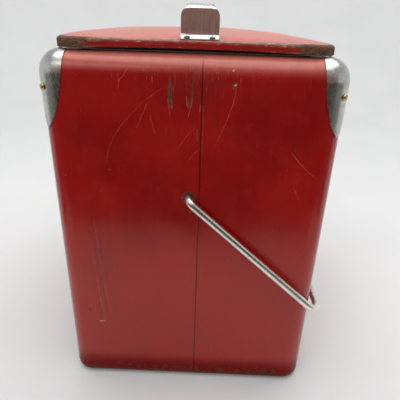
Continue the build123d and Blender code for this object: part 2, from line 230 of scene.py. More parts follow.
def paint(name, part):
    """Old red enamel on steel. part is case, base or lid."""
    t = Tree(name)
    p, x, y, z = t.p, t.x, t.y, t.z
    big = t.noise(p, 110, 3, 0.55)
    mid = t.noise(p, 13, 4, 0.62)
    fine = t.noise(p, 1.3, 3, 0.6)
    peel = t.noise(p, 3.2, 1, 0.5)
    color = t.mix(t.ramp(big, 0.3, 0.7), RED_DEEP, RED)
    color = t.mix(t.ramp(mid, 0.45, 0.8, 0, 0.30), color, (0.33, 0.006, 0.004))

    # hairlines over every panel, more of them in patches
    patch = t.ramp(t.noise(p, 45, 2, 0.5), 0.48, 0.68)
    hair = t.most(
        hairlines(t, (0.0, 0.0, 0.0), 5.0, 0.010),
        hairlines(t, (0.5, 0.35, 0.0), 7.0, 0.006),
        hairlines(t, (-0.7, -0.45, 0.3), 9.0, 0.005),
    )
    hair = t.m("MULTIPLY", hair, patch)
    # small knocks through to the primer
    knock = t.ramp(t.cells(t.v("ADD", p, t.vec(mid, fine, mid)), 17).outputs["Distance"], 0.075, 0.045)
    knock = t.m("MULTIPLY", knock, t.ramp(t.noise(p, 60, 1, 0.5), 0.56, 0.62))

    dust = t.ramp(t.cells(t.v("ADD", p, t.vec(fine, mid, fine)), 6.5).outputs["Distance"], 0.085, 0.05)
    dust = t.m("MULTIPLY", dust, t.ramp(t.noise(p, 30, 2, 0.6), 0.38, 0.62, 0.0, 0.36))
    streaks = t.noise(t.v("MULTIPLY", p, (1.0, 1.0, 0.05)), 3.5, 3, 0.6)
    color = t.mix(t.ramp(streaks, 0.52, 0.74, 0.0, 0.30), color, t.v("SCALE", color, scale=0.62))
    light, dark, bare = hair, knock, None
    # upward faces and the case's top shoulder made paler pink: partly sun-faded paint, partly a painted highlight of
    # the bright overhead
    fade_and_sky_sheen = t.m("MULTIPLY", t.ramp(t.nz, 0.15, 0.85), t.ramp(mid, 0.2, 0.8, 0.75, 1.0))
    if part != "lid":
        color = t.mix(t.m("MULTIPLY", fade_and_sky_sheen, 0.85), color, (0.62, 0.185, 0.145))
    # painted reflection: the case's lower half paler and more orange, as if mirroring the pale floor in front
    if part != "lid":
        color = t.mix(t.m("MULTIPLY", t.ramp(z, 265, 150, 0.0, 0.70), t.ramp(z, 24, 46)), color, (0.31, 0.022, 0.016))
    if part == "case":
        front = t.ramp(y, -222, -226, smooth=False)
        xw = t.m("ADD", x, t.m("MULTIPLY", t.m("SUBTRACT", t.noise(p, 4.0, 2, 0.6), 0.5), 1.6))
        fresh_and_seam_highlight = t.strokes(xw, z, [
            ([(-66.9, 434.5), (-71.5, 426.5), (-76.4, 420.4), (-77.8, 412.0)], 0.25),
            ([(45.1, 418.0), (43.9, 407), (39.6, 390.5), (31.7, 368.5), (21.0, 343.6)], 0.42, dict(soft=0.4, ends=(0.6, 0.02))),
            ([(109.8, 351.5), (122, 337.5), (145.4, 318.6)], 0.40, dict(ends=(0.25, 0.1))),
            ([(-25.9, 405.5), (-25.2, 398.7), (-23.1, 384.0)], 0.55, dict(ends=(0.5, 0.05))),
            ([(-21.3, 401.9), (-22.1, 393.6)], 0.5),
            ([(-6.5, 408.0), (-6.1, 401.5), (-2.7, 392.6)], 0.55),
            ([(0.0, 407.8), (-2.1, 394.3), (-5.3, 382.5)], 0.55, dict(ends=(0.3, 0.1))),
            # painted highlight: the light line along the seam's raised edge over the shoulder; the other strokes here
            # are fresh scratches
            ([(10.9, 446.7), (11.1, 424.2)], 0.35, dict(ends=(0.3, 0.05))),
            ([(-3.1, 446.3), (-3.0, 431.0)], 0.40, dict(ends=(0.4, 0.05))),
            ([(8.7, 399.8), (7.8, 391.0)], 0.55),
        ])
        faint = t.strokes(xw, z, [
            ([(-45.7, 406.2), (-62.1, 390.0), (-80.5, 368.7), (-91.0, 349.6), (-95.6, 328.7)], 0.5, dict(soft=0.5)),
            ([(-47.5, 399.9), (-54.8, 383.9), (-60.5, 370.8)], 0.75, dict(soft=0.6)),
            ([(-25.9, 416.0), (-36.3, 411.6), (-47.8, 402.2)], 0.6, dict(soft=0.6)),
            ([(-45.1, 387.4), (-43.2, 376.7), (-39.5, 365.0)], 0.7, dict(soft=0.6)),
            ([(-19.5, 433.2), (-18.4, 425.3), (-20.2, 414.3), (-19.2, 403.1)], 0.35),
            ([(11.6, 398.9), (12.0, 372.2), (11.8, 320.0)], 0.35, dict(ends=(0.4, 0.1))),
            ([(4.4, 375.1), (-5.1, 364.9), (-15.9, 349.0)], 0.45, dict(soft=0.5)),
            ([(9.3, 352.0), (-4.6, 335.4)], 0.45, dict(soft=0.5)),
            ([(-117.0, 262.0), (-112.0, 180.0), (-104.0, 96.0)], 0.8, dict(soft=0.9)),
            ([(-122.0, 228.0), (-119.0, 160.0), (-111.0, 82.0)], 0.6, dict(soft=0.7)),
            ([(0.5, 281.0), (-0.8, 266.0)], 0.6, dict(soft=0.5)),
            ([(118.0, 309.0), (127.0, 292.0)], 0.9, dict(soft=0.8)),
        ])
        wide = t.m("ADD", x, t.m("MULTIPLY", t.m("SUBTRACT", t.noise(t.v("MULTIPLY", p, (1, 1, 0.35)), 2.6, 4, 0.72), 0.5), 5.5))
        chips = t.strokes(wide, z, [
            ([(-23.9, 428.0), (-23.6, 412.0), (-23.3, 394.0)], 2.0, dict(soft=0.9, ends=(0.35, 0.5))),
            ([(0.9, 434.0), (0.6, 420.0), (-0.9, 401.0)], 0.5, dict(soft=0.7, ends=(0.3, 0.3))),
            ([(-4.5, 406.0), (-3.4, 394.5)], 0.8, dict(soft=0.8, ends=(0.4, 0.4))),
            ([(5.6, 374.5), (6.4, 358.5)], 0.7, dict(soft=0.9, ends=(0.4, 0.4))),
            ([(11.4, 399.0), (12.6, 391.0)], 0.5, dict(soft=0.5, ends=(0.4, 0.4))),
            ([(-133.8, 121.5), (-133.0, 115.5)], 1.2, dict(soft=0.9)),
            ([(1.5, 203.5), (1.2, 200.0)], 1.0, dict(soft=0.8)),
            ([(2.5, 163.5), (2.2, 160.5)], 0.8, dict(soft=0.7)),
            ([(-113.0, 222.0), (-111.5, 206.0)], 0.35, dict(soft=0.9)),
            ([(42.5, 415.5), (44.5, 423.5)], 1.0, dict(soft=0.7)),
        ])
        # a smear of dirt round the sheet joint, above the middle
        grimy = t.m("MULTIPLY", t.ramp(t.m("ABSOLUTE", t.m("SUBTRACT", x, 2.0)), 34.0, 3.0), t.ramp(z, 385, 425))
        grimy = t.m("MULTIPLY", grimy, t.ramp(t.noise(t.v("MULTIPLY", p, (1, 1, 0.25)), 6, 3, 0.6), 0.42, 0.62))
        # dents' bright lips, and the tick low on the left
        lips = t.most(
            t.stroke(xw, t.m("ADD", z, t.m("MULTIPLY", x, 0.05)), [(44.0, 421.1), (44.2, 422.6), (45.0, 423.3)], 1.5, soft=0.6, ends=(0.3, 0.3)),
            t.stroke(xw, z, [(41.0, 433.2), (41.4, 434.6), (41.8, 435.6)], 0.9, soft=0.6, ends=(0.3, 0.3)),
            t.stroke(xw, z, [(-118.4, 97.6), (-118.4, 98.6), (-118.4, 99.2)], 4.0, soft=1.2, ends=(0.3, 0.3)),
        )
        hole = t.v("LENGTH", t.vec(t.m("SUBTRACT", x, -2.3), 0.0, t.m("SUBTRACT", z, 290.6)))
        ring = t.ramp(t.m("ADD", hole, t.m("MULTIPLY", t.m("SUBTRACT", mid, 0.5), 3.0)), 9.0, 6.4)
        joint = t.ramp(t.m("ABSOLUTE", t.m("SUBTRACT", x, 9.95)), 0.75, 0.30)
        # rubbed patch low on the left, speckled where it has knocked against things
        rub = t.m("MULTIPLY", t.ramp(t.m("ABSOLUTE", t.m("ADD", x, 112.0)), 19.0, 5.0), t.m("MULTIPLY", t.ramp(z, 78, 120), t.ramp(z, 290, 220)))
        rubbed = t.m("MULTIPLY", rub, t.ramp(t.noise(t.v("MULTIPLY", p, (1.0, 1.0, 0.10)), 3.2, 3, 0.65), 0.42, 0.62))
        pecks = t.m("MULTIPLY", t.m("MULTIPLY", rub, front), t.ramp(t.cells(t.v("ADD", p, t.vec(fine, mid, mid)), 9.0).outputs["Distance"], 0.13, 0.08))
        color = t.mix(t.m("MULTIPLY", t.m("MULTIPLY", rubbed, front), 0.40), color, (0.120, 0.012, 0.013))
        fresh_and_seam_highlight, faint, lips = (t.m("MULTIPLY", v, front) for v in (fresh_and_seam_highlight, faint, lips))
        chips, grimy, joint = (t.m("MULTIPLY", v, front) for v in (chips, grimy, joint))
        ring = t.m("MULTIPLY", ring, t.ramp(t.m("ABSOLUTE", y), 222, 226, smooth=False))
        # scuffs along the shoulder, round the whole case
        run = t.noise(t.v("MULTIPLY", p, (0.10, 0.10, 1.0)), 2.2, 3, 0.65)
        shoulder = t.m("MULTIPLY", t.ramp(run, 0.55, 0.66), t.m("MULTIPLY", t.ramp(z, 434, 441), t.ramp(z, 448.4, 446)))
        combed = t.m("MULTIPLY", t.ramp(t.noise(t.v("MULTIPLY", p, (1.0, 1.0, 0.07)), 1.5, 2, 0.6), 0.60, 0.70), t.m("MULTIPLY", t.ramp(z, 400, 432), patch))
        broken = t.ramp(t.noise(p, 6, 2, 0.6), 0.30, 0.60, 0.35, 1.0)
        light = t.most(
            t.m("MULTIPLY", hair, 0.08), t.m("MULTIPLY", combed, 0.45), t.m("MULTIPLY", t.m("MULTIPLY", faint, broken), 0.24),
            t.m("MULTIPLY", t.m("MULTIPLY", fresh_and_seam_highlight, broken), 0.60), lips, t.m("MULTIPLY", shoulder, 0.75),
        )
        dark = t.most(knock, chips, t.m("MULTIPLY", pecks, 0.8), t.m("MULTIPLY", ring, 0.9), t.m("MULTIPLY", grimy, 0.20))
        color = t.mix(t.m("MULTIPLY", joint, 0.80), color, (0.030, 0.004, 0.003))
        foot = t.m("ADD", t.ramp(z, 52, 15, 0, 0.42), t.ramp(z, 26, 14, 0, 0.30))
        hollow = t.m("MULTIPLY", t.most(knock, chips), -1.0)
        bare = t.m("MULTIPLY", lips, 0.8)
    elif part == "base":
        foot = t.ramp(z, 16, 4, 0.55, 1.0)
        light = t.m("MULTIPLY", hair, 0.25)
        hollow = t.m("MULTIPLY", knock, -1.0)
    else:
        # the lid: a worn line along the rim's upper edge and rusty corners
        foot = 0.0
        edge, ends = t.attr("edge"), t.attr("ends")
        ragged = t.m("ADD", t.noise(t.v("MULTIPLY", p, (0.35, 0.35, 1.0)), 3.0, 4, 0.68), t.m("MULTIPLY", ends, 0.35))
        worn = t.ramp(t.m("ADD", t.m("MULTIPLY", edge, 0.62), ragged), 0.88, 1.06)
        rusty = t.ramp(t.m("ADD", t.m("MULTIPLY", ends, 0.75), t.noise(p, 5.5, 5, 0.75)), 0.86, 1.16)
        # lid's upward faces paler salmon: partly sun-faded paint, partly a painted sheen of the overhead light on the
        # top
        up = t.ramp(t.nz, 0.55, 0.9)
        fade_and_top_sheen = t.m("MULTIPLY", up, t.ramp(t.noise(p, 55, 3, 0.6), 0.25, 0.75, 0.62, 0.95))
        color = t.mix(fade_and_top_sheen, color, (0.70, 0.185, 0.138))
        knock = t.m("MULTIPLY", knock, t.ramp(edge, 0.0, 0.3))
        light = t.most(t.m("MULTIPLY", hair, 0.3), t.m("MULTIPLY", t.ramp(run_noise(t), 0.63, 0.7), 0.5))
        color = t.mix(t.m("MULTIPLY", worn, 0.9), color, t.mix(fine, WORN, RUST))
        dark = t.most(knock, t.m("MULTIPLY", rusty, 0.9))
        hollow = t.m("ADD", t.m("MULTIPLY", worn, -0.4), t.m("MULTIPLY", rusty, -0.8))
        bare = t.m("MULTIPLY", t.m("MULTIPLY", worn, t.m("SUBTRACT", 0.85, t.m("MULTIPLY", ends, 0.70))), t.ramp(t.noise(t.v("MULTIPLY", p, (0.3, 0.3, 1.0)), 2.2, 3, 0.7), 0.50, 0.64))
    light = t.m("MAXIMUM", light, dust)
    scuffed = t.mix(fine, CHALK, (0.36, 0.060, 0.050))
    color = t.mix(light, color, scuffed)
    under = t.mix(t.ramp(t.noise(p, 2.4, 3, 0.7), 0.38, 0.62), PRIMER, RUST)
    color = t.mix(dark, color, under)
    if part != "lid":
        rot = t.ramp(t.m("ADD", t.noise(t.v("MULTIPLY", p, (1, 1, 0.6)), 7, 4, 0.66), t.m("MULTIPLY", foot, 0.42)), 0.78, 0.92)
        # painted shade: darker towards the bottom, where the sheet turns under
        color = t.mix(t.ramp(z, 44, 20, 0.0, 0.85), color, (0.135, 0.0020, 0.0014))
        color = t.mix(rot, color, t.mix(fine, RUST, PRIMER))
        dark = t.most(dark, rot)
    if bare is not None:
        color = t.mix(bare, color, BARE)
    # gloss: satin where sound, dull where scuffed, rubbed or rusty
    base = {"case": 0.205, "base": 0.26, "lid": 0.31}[part]
    rough = t.m("ADD", base, t.m("MULTIPLY", t.m("SUBTRACT", mid, 0.5), 0.16))
    rough = t.m("ADD", rough, t.m("MULTIPLY", t.m("SUBTRACT", big, 0.5), 0.10))
    rough = t.mixf(light, rough, 0.55)
    rough = t.mixf(dark, rough, 0.82)
    relief = t.m("ADD", t.m("MULTIPLY", peel, 0.02), t.m("MULTIPLY", t.noise(p, 28, 2, 0.5), 0.16))
    pit = t.m("MULTIPLY", hollow, t.m("SUBTRACT", 0.16, t.m("MULTIPLY", fine, 0.12)))
    n = t.bump(t.m("ADD", relief, pit))
    return t.finish(color, rough, normal=n, **{"IOR": 1.46, "Specular Tint": (1.0, 0.90, 0.80), "Specular IOR Level": 0.5 if part == "lid" else t.ramp(z, 20, 46, 0.14, 0.5)})


def run_noise(t):
    return t.noise(t.v("MULTIPLY", t.p, (0.12, 1.0, 1.0)), 2.6, 3, 0.6)


def metal(name, tint, rough, grain=(1, 1, 0.03), grain_size=0.9, grain_amount=0.12, spots=0.0,
          spot_color=(0.10, 0.08, 0.055), wear=0.15, lumps=0.0, dull=0.0):
    """Bare metal with a rolled or brushed grain, scratches, tarnish and spots."""
    t = Tree(name)
    p = t.p
    g = t.noise(t.v("MULTIPLY", p, grain), grain_size, 3, 0.6)
    big = t.noise(p, 22, 3, 0.6)
    mid = t.noise(p, 4.5, 4, 0.65)
    dark = tuple(c * 0.72 for c in tint)
    color = t.mix(t.ramp(big, 0.35, 0.75, 0, 0.6), tint, dark)
    color = t.mix(t.m("MULTIPLY", t.ramp(g, 0.35, 0.7), 0.35), color, dark)
    scr = t.most(hairlines(t, (0.4, 0.3, 0.0), 3.0, 0.012), hairlines(t, (-0.9, 0.5, 0.2), 4.0, 0.010))
    color = t.mix(t.m("MULTIPLY", scr, wear), color, tuple(min(1.0, c * 1.25) for c in tint))
    r = t.m("ADD", rough, t.m("MULTIPLY", t.m("SUBTRACT", g, 0.5), grain_amount))
    r = t.m("ADD", r, t.m("MULTIPLY", t.m("SUBTRACT", mid, 0.5), grain_amount * 1.2))
    met = 1.0 - dull
    if spots:
        s = t.ramp(t.noise(p, 2.8, 4, 0.7), 0.72 - 0.22 * spots, 0.80 - 0.20 * spots)
        color = t.mix(t.m("MULTIPLY", s, 0.85), color, spot_color)
        r = t.mixf(s, r, 0.8)
        met = t.mixf(s, met, 0.15)
    n = t.bump(g, 0.10, 0.0002)
    n = t.bump(mid, 0.10, 0.0004, n)
    if lumps:
        n = t.bump(t.noise(p, 11, 2, 0.5), lumps, 0.0012, n)
    n = t.bump(scr, 0.12, 0.0001, n)
    return t.finish(color, r, met, n)


def galvanised(name):
    """Zinc spangle on sheet steel, water-marked."""
    t = Tree(name)
    p = t.p
    warped = t.v("ADD", p, t.v("SCALE", t.vec(t.noise(p, 9, 2), t.noise(t.v("ADD", p, (40, 0, 0)), 9, 2), 0.0), scale=6.0))
    spangle = t.cells(warped, 9.0)
    tone = t.sep(spangle.outputs["Color"])[0]
    fine = t.noise(p, 1.4, 3, 0.6)
    color = t.mix(tone, (0.33, 0.345, 0.35), (0.58, 0.60, 0.61))
    stain = t.ramp(t.noise(p, 40, 4, 0.65), 0.50, 0.66)
    color = t.mix(t.m("MULTIPLY", stain, 0.5), color, (0.40, 0.38, 0.335))
    bloom = t.ramp(t.noise(p, 3.6, 4, 0.7), 0.62, 0.74)
    color = t.mix(t.m("MULTIPLY", bloom, 0.6), color, (0.70, 0.70, 0.68))
    rough = t.m("ADD", t.mixf(tone, 0.34, 0.50), t.m("MULTIPLY", fine, 0.08))
    rough = t.mixf(bloom, rough, 0.8)
    n = t.bump(tone, 0.08, 0.0002)
    n = t.bump(t.noise(p, 30, 2), 0.12, 0.0016, n)
    n = t.bump(bloom, 0.2, 0.0002, n)
    return t.finish(color, rough, t.mixf(bloom, 0.9, 0.3), n)


def fibre(name):
    """Matted mineral fibre, yellowed."""
    t = Tree(name)
    p = t.p
    strands = t.noise(t.v("MULTIPLY", p, (1, 1, 0.2)), 2.2, 6, 0.75, 1.5)
    lumps = t.noise(p, 18, 3, 0.6)
    color = t.mix(t.ramp(strands, 0.3, 0.7), (0.32, 0.24, 0.12), (0.66, 0.56, 0.36))
    color = t.mix(t.ramp(lumps, 0.4, 0.75, 0, 0.5), color, (0.30, 0.22, 0.13))
    n = t.bump(strands, 0.8, 0.0015)
    n = t.bump(lumps, 0.6, 0.003, n)
    return t.finish(color, 0.95, normal=n)


def rubber(name):
    t = Tree(name)
    p = t.p
    a = t.noise(p, 2.0, 4, 0.7)
    cracks = t.ramp(t.cells(t.v("MULTIPLY", p, (1, 1, 1.5)), 3.2, "DISTANCE_TO_EDGE").outputs["Distance"], 0.05, 0.0)
    color = t.mix(t.ramp(a, 0.35, 0.7), (0.009, 0.009, 0.008), (0.026, 0.024, 0.022))
    color = t.mix(t.m("MULTIPLY", cracks, 0.6), color, (0.006, 0.006, 0.006))
    n = t.bump(cracks, -0.4, 0.0003)
    n = t.bump(a, 0.15, 0.0003, n)
    return t.finish(color, t.mixf(a, 0.6, 0.82), normal=n)


mats = {
    "case": paint("red_enamel_case", "case"),
    "base": paint("red_enamel_base", "base"),
    "lid": paint("red_enamel_lid", "lid"),
    "cap": metal("spun_aluminium", (0.60, 0.60, 0.57), 0.30, grain=(1, 1, 0.08), grain_size=1.8, grain_amount=0.26, lumps=0.16, wear=0.45),
    "clip": metal("nickel_plate", (0.76, 0.73, 0.69), 0.16, grain=(1, 1, 0.04), grain_size=1.3, grain_amount=0.26, spots=0.16, wear=0.5),
    "rod": metal("drawn_steel_rod", (0.92, 0.89, 0.82), 0.28, grain=(1, 1, 1), grain_size=0.8, grain_amount=0.08, spots=0.16, wear=0.3),
    "brass": metal("old_brass", (0.62, 0.46, 0.20), 0.28, grain=(1, 1, 1), spots=0.45, spot_color=(0.07, 0.05, 0.02)),
    "steel": metal("dull_steel", (0.50, 0.49, 0.47), 0.36, grain=(1, 1, 1), spots=0.35),
    "dark_steel": metal("oxidised_steel", (0.20, 0.18, 0.16), 0.45, grain=(1, 1, 1), spots=0.5),
    "zinc": galvanised("galvanised_sheet"),
    "fibre": fibre("mineral_fibre"),
    "rubber": rubber("aged_rubber"),
}


# ================================================================ mesh helpers
def add_mesh(name, verts, faces, mat, body, replaces=(), sharp=35.0, attrs=None):
    """verts in millimetres of the row frame."""
    me = bpy.data.meshes.new(name)
    me.from_pydata([tuple(v) for v in np.asarray(verts, float) * MM], [], faces)
    me.materials.append(mat)
    for k, v in (attrs or {}).items():
        me.attributes.new(k, "FLOAT", "POINT").data.foreach_set("value", np.asarray(v, np.float32))
    bm = bmesh.new()
    bm.from_mesh(me)
    bmesh.ops.recalc_face_normals(bm, faces=bm.faces)
    bm.to_mesh(me)
    bm.free()
    me.polygons.foreach_set("use_smooth", [True] * len(me.polygons))
    me.set_sharp_from_angle(angle=math.radians(sharp))
    o = bpy.data.objects.new(name, me)
    scene.collection.objects.link(o)
    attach(o, body)
    if replaces:
        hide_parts(*replaces)
    return o


def rings_to_faces(rows, n, loop):
    faces = []
    for i in range(rows if loop else rows - 1):
        a, b = i * n, ((i + 1) % rows) * n
        for j in range(n):
            k = (j + 1) % n
            faces.append((a + j, a + k, b + k, b + j))
    return faces


def fan(ring_start, n, pole):
    return [(ring_start + j, ring_start + (j + 1) % n, pole) for j in range(n)]


def outline(xc, xm, yd, r, front, sides, corner):
    """Plan outline, anticlockwise from the front left corner's end: a straight front
    and back at y = -yd and yd, long sides bowed from xc at the ends to xm, corners of
    radius r. front lists the fractions along the straight front where points stand."""
    s = max(xm - xc, 1e-3)
    ra = (yd * yd + s * s) / (2 * s)
    ax = xm - ra
    cx = ax + math.sqrt((ra - r) ** 2 - (yd - r) ** 2)
    th = math.atan2(-(yd - r), cx - ax)
    pts = [(-cx + 2 * cx * f, -yd) for f in front]
    for i in range(1, corner + 1):
        a = -math.pi / 2 + (th + math.pi / 2) * i / corner
        pts.append((cx + r * math.cos(a), -yd + r + r * math.sin(a)))
    for i in range(1, sides):
        a = th - 2 * th * i / sides
        pts.append((ax + ra * math.cos(a), ra * math.sin(a)))
    for i in range(corner + 1):
        a = -th + (math.pi / 2 + th) * i / corner
        pts.append((cx + r * math.cos(a), yd - r + r * math.sin(a)))
    pts += [(cx - 2 * cx * f, yd) for f in front[1:-1]]
    # the left side mirrors the right side, from the back to the front
    right = pts[len(front) - 1:len(pts) - (len(front) - 2)]
    return np.array(pts + [(-px, py) for px, py in reversed(right)][:-1], float)


# ================================================================ case sheet
W, CROWN, D, H = 330.0, 5.0, 457.0, 448.0
hw, hd = W / 2, D / 2
R_V, R_TOP, R_BASE, T = 25.0, 24.0, 12.0, 0.8
SEAM = 10.0
cx_case = None
seam_x = [2.0, 6.0, 8.4, 9.25, 9.65, 10.25, 10.65, 11.6, 13.0, 16.0, 20.0]
seam_dy = [0.0, 0.0, 0.03, 0.10, 0.62, 0.62, -0.26, -0.30, -0.20, -0.05, 0.0]


def corner_centre():
    xc, xm, yd, r = hw - 0.6, hw + CROWN, hd, R_V
    s = xm - xc
    ra = (yd * yd + s * s) / (2 * s)
    return xm - ra + math.sqrt((ra - r) ** 2 - (yd - r) ** 2)


CX = corner_centre()
front_x = sorted(set([round(v, 3) for v in np.linspace(-CX, CX, 45) if abs(v - SEAM) > 11.5] + seam_x + [-4.0, CX, -CX]))
front_x[0], front_x[-1] = -CX, CX
FRONT = [(v + CX) / (2 * CX) for v in front_x]
SIDES, CORNER = 56, 12


def case_ring(inset, z):
    o = outline(hw - 0.6 - inset, hw + CROWN - inset, hd - inset, max(R_V - inset, 0.6), FRONT, SIDES, CORNER)
    return np.column_stack([o, np.full(len(o), z)])


def plan_ring(w, d, r, z):
    o = outline(w / 2, w / 2 + 1e-3, d / 2, r, FRONT, SIDES, CORNER)
    return np.column_stack([o, np.full(len(o), z)])


rng = np.random.default_rng(11)
waves = [(rng.uniform(0.006, 0.017), rng.uniform(0.005, 0.014), rng.uniform(0, 6.28), rng.uniform(0, 6.28)) for _ in range(6)]
# knocks and dents: x, y, z, radius, depth
dents = [
    (43.5, -hd, 419.5, 4.5, 0.75), (41.0, -hd, 411.0, 6.0, 0.35), (-118.0, -hd, 99.0, 5.0, 0.30), (-133.0, -hd, 118.0, 3.5, 0.35),
    (96.0, -hd, 150.0, 42.0, 0.55), (-60.0, -hd, 190.0, 55.0, 0.45), (60.0, -hd, 320.0, 60.0, 0.35),
    (hw, -60.0, 300.0, 60.0, 0.9), (hw, 110.0, 210.0, 45.0, 0.8), (-hw, 40.0, 250.0, 70.0, 1.1), (-hw, -120.0, 130.0, 22.0, 0.9),
    (70.0, hd, 240.0, 50.0, 0.8), (-40.0, hd, 350.0, 18.0, 0.6), (hw, 20.0, 90.0, 14.0, 0.7), (-hw, 150.0, 330.0, 16.0, 0.8),
]


def sheet_shift(v):
    """How far the flat panels of the case sheet stand in or out, in millimetres, inwards positive."""
    x, y, z = v[:, 0], v[:, 1], v[:, 2]
    flat = np.maximum(
        np.clip((np.abs(y) - 222) / 6, 0, 1) * np.clip((128 - np.abs(x)) / 40, 0, 1),
        np.clip((np.abs(x) - 158) / 5, 0, 1) * np.clip((192 - np.abs(y)) / 40, 0, 1),
    ) * np.clip((z - 18) / 40, 0, 1) * np.clip((424 - z) / 40, 0, 1)
    quiet = np.clip((np.hypot(x + 2.3, z - 290.6) - 20) / 40, 0, 1)
    quiet = np.where(np.abs(y) > 215, quiet, 1)
    u = np.where(np.abs(y) > 222, x, y)
    side = np.where(np.abs(y) > 222, np.sign(y) * 1.7, np.sign(x) * 3.1)
    wave = sum(np.sin(a * 6.28 * u + f + side) * np.sin(b * 6.28 * z + g + side) for a, b, f, g in waves) * 0.11
    out = wave * flat * quiet
    for dx, dy, dz, r, depth in dents:
        out = out + depth * np.exp(-((x - dx) ** 2 + (y - dy) ** 2 + (z - dz) ** 2) / (r * r) * 1.6)
    return out


def push(ring_base, ring, z_lo=-1e9):
    """Moves a ring by the sheet's shift, read at the outer surface ring_base."""
    sh = sheet_shift(ring_base)
    n = np.zeros_like(ring)
    on_end = np.abs(ring_base[:, 1]) >= hd - 3
    n[:, 1] = np.where(on_end, -np.sign(ring_base[:, 1]), 0)
    n[:, 0] = np.where(on_end, 0, -np.sign(ring_base[:, 0]))
    out = ring + n * sh[:, None]
    # the sheet's joint, on the front end only
    on_front = ring_base[:, 1] < -hd + R_TOP
    dy = np.interp(ring_base[:, 0], seam_x, seam_dy, left=0, right=0)
    out[:, 1] += np.where(on_front, dy, 0)
    return out


rows_outer = [(0.0, z) for z in [15.0, 15.6, 17.0] + list(np.arange(22.0, 424.0, 7.9)) + [424.0]]
rows_outer += [(R_TOP * (1 - math.cos(a)), H - R_TOP + R_TOP * math.sin(a)) for a in np.linspace(0, math.pi / 2, 13)[1:]]
loops = []
for inset, z in rows_outer:
    base = case_ring(inset, z)
    loops.append(push(base, base))
deck_out = case_ring(R_TOP, H)
mouth = plan_ring(245.0, 372.0, 26.5, H)
for f in (0.12, 0.35, 0.65, 0.9):
    loops.append(deck_out * (1 - f) + mouth * f)
mouth_lo = mouth.copy()
mouth_lo[:, 2] = H - T
loops += [mouth, mouth_lo]
under = case_ring(R_TOP, H - T)
loops.append(mouth_lo * 0.5 + under * 0.5)
for inset, z in reversed(rows_outer):
    base = case_ring(inset, z)
    if z > H - R_TOP:
        a = math.asin(min(1.0, (z - (H - R_TOP)) / R_TOP))
        r = R_TOP - T
        ring = case_ring(T + r * (1 - math.cos(a)), H - R_TOP + r * math.sin(a))
    else:
        ring = case_ring(T, z)
    loops.append(push(base, ring))
n_ring = len(loops[0])
case_sheet = add_mesh(
    "case_sheet", np.concatenate(loops), rings_to_faces(len(loops), n_ring, True),
    mats["case"], "case", ("outer_shell",), sharp=50,
)


def bore(piece, centre, axis, radius, length):
    """Cuts a round hole through a piece. Millimetres."""
    axis = Vector(axis).normalized()
    turn = axis.to_track_quat("Z", "Y").to_matrix()
    n = 48
    vs = []
    for e in (-0.5, 0.5):
        for i in range(n):
            a = 2 * math.pi * i / n
            q = turn @ Vector((radius * math.cos(a), radius * math.sin(a), e * length))
            vs.append(tuple((Vector(centre) + q) * MM))
    fs = [(i, (i + 1) % n, n + (i + 1) % n, n + i) for i in range(n)] + [tuple(reversed(range(n))), tuple(range(n, 2 * n))]
    me = bpy.data.meshes.new("cutter")
    me.from_pydata(vs, [], fs)
    cutter = bpy.data.objects.new("cutter", me)
    scene.collection.objects.link(cutter)
    mod = piece.modifiers.new("bore", "BOOLEAN")
    mod.operation, mod.solver, mod.object = "DIFFERENCE", "EXACT", cutter
    bpy.context.view_layer.update()
    dg = bpy.context.evaluated_depsgraph_get()
    new = bpy.data.meshes.new_from_object(piece.evaluated_get(dg))
    piece.modifiers.remove(mod)
    old = piece.data
    new.name = old.name + "_bored"
    piece.data = new
    bpy.data.meshes.remove(old)
    bpy.data.objects.remove(cutter)
    bpy.data.meshes.remove(me)


for s in (-1, 1):
    bore(case_sheet, (-2.3, s * hd, 290.6), (0, 1, 0), 6.1, 16)
bore(case_sheet, (-80.0, hd, 58.5), (0, 1, 0), 7.6, 16)
case_sheet.data.set_sharp_from_angle(angle=math.radians(50))
mod = case_sheet.modifiers.new("normals", "WEIGHTED_NORMAL")
mod.keep_sharp = True

# ================================================================ base pan
loops = []
for inset, z in [(40.0, 0.0), (20.0, 0.0)]:
    loops.append(case_ring(min(inset, R_V - 0.7), z) if inset < 24 else None)
loops = [l for l in loops if l is not None]
for a in np.linspace(0, math.pi / 2, 9):
    loops.append(case_ring(R_BASE * (1 - math.sin(a)), R_BASE * (1 - math.cos(a))))
loops += [case_ring(0, 13.2), case_ring(0, 14.6), case_ring(0.25, 14.95), case_ring(T + 0.05, 15.0), case_ring(T + 0.05, 25.0)]
lip = case_ring(2 * T + 0.05, 25.0)
inner = [lip, case_ring(2 * T + 0.05, 15.0)]
for a in np.linspace(math.pi / 2, 0, 9):
    r = R_BASE - 2 * T
    inner.append(case_ring(2 * T + r * (1 - math.sin(a)), T + r * (1 - math.cos(a))))
inner.append(case_ring(20.0, T))
for ring in loops[2:]:
    dy = np.interp(ring[:, 0], seam_x, seam_dy, left=0, right=0)
    ring[:, 1] += np.where((ring[:, 1] < -hd + R_BASE) & (ring[:, 2] < 14.9), np.minimum(dy, 0.5) * np.clip(ring[:, 2] / 9, 0, 1), 0)
verts = np.concatenate(loops + inner)
rows, n = len(loops) + len(inner), len(loops[0])
faces = rings_to_faces(rows, n, False)
verts = np.vstack([verts, [0, 0, 0], [0, 0, T]])
faces += fan(0, n, len(verts) - 2) + fan((rows - 1) * n, n, len(verts) - 1)
base_pan = add_mesh("base_pan_formed", verts, faces, mats["base"], "case", ("base_pan",), sharp=50)

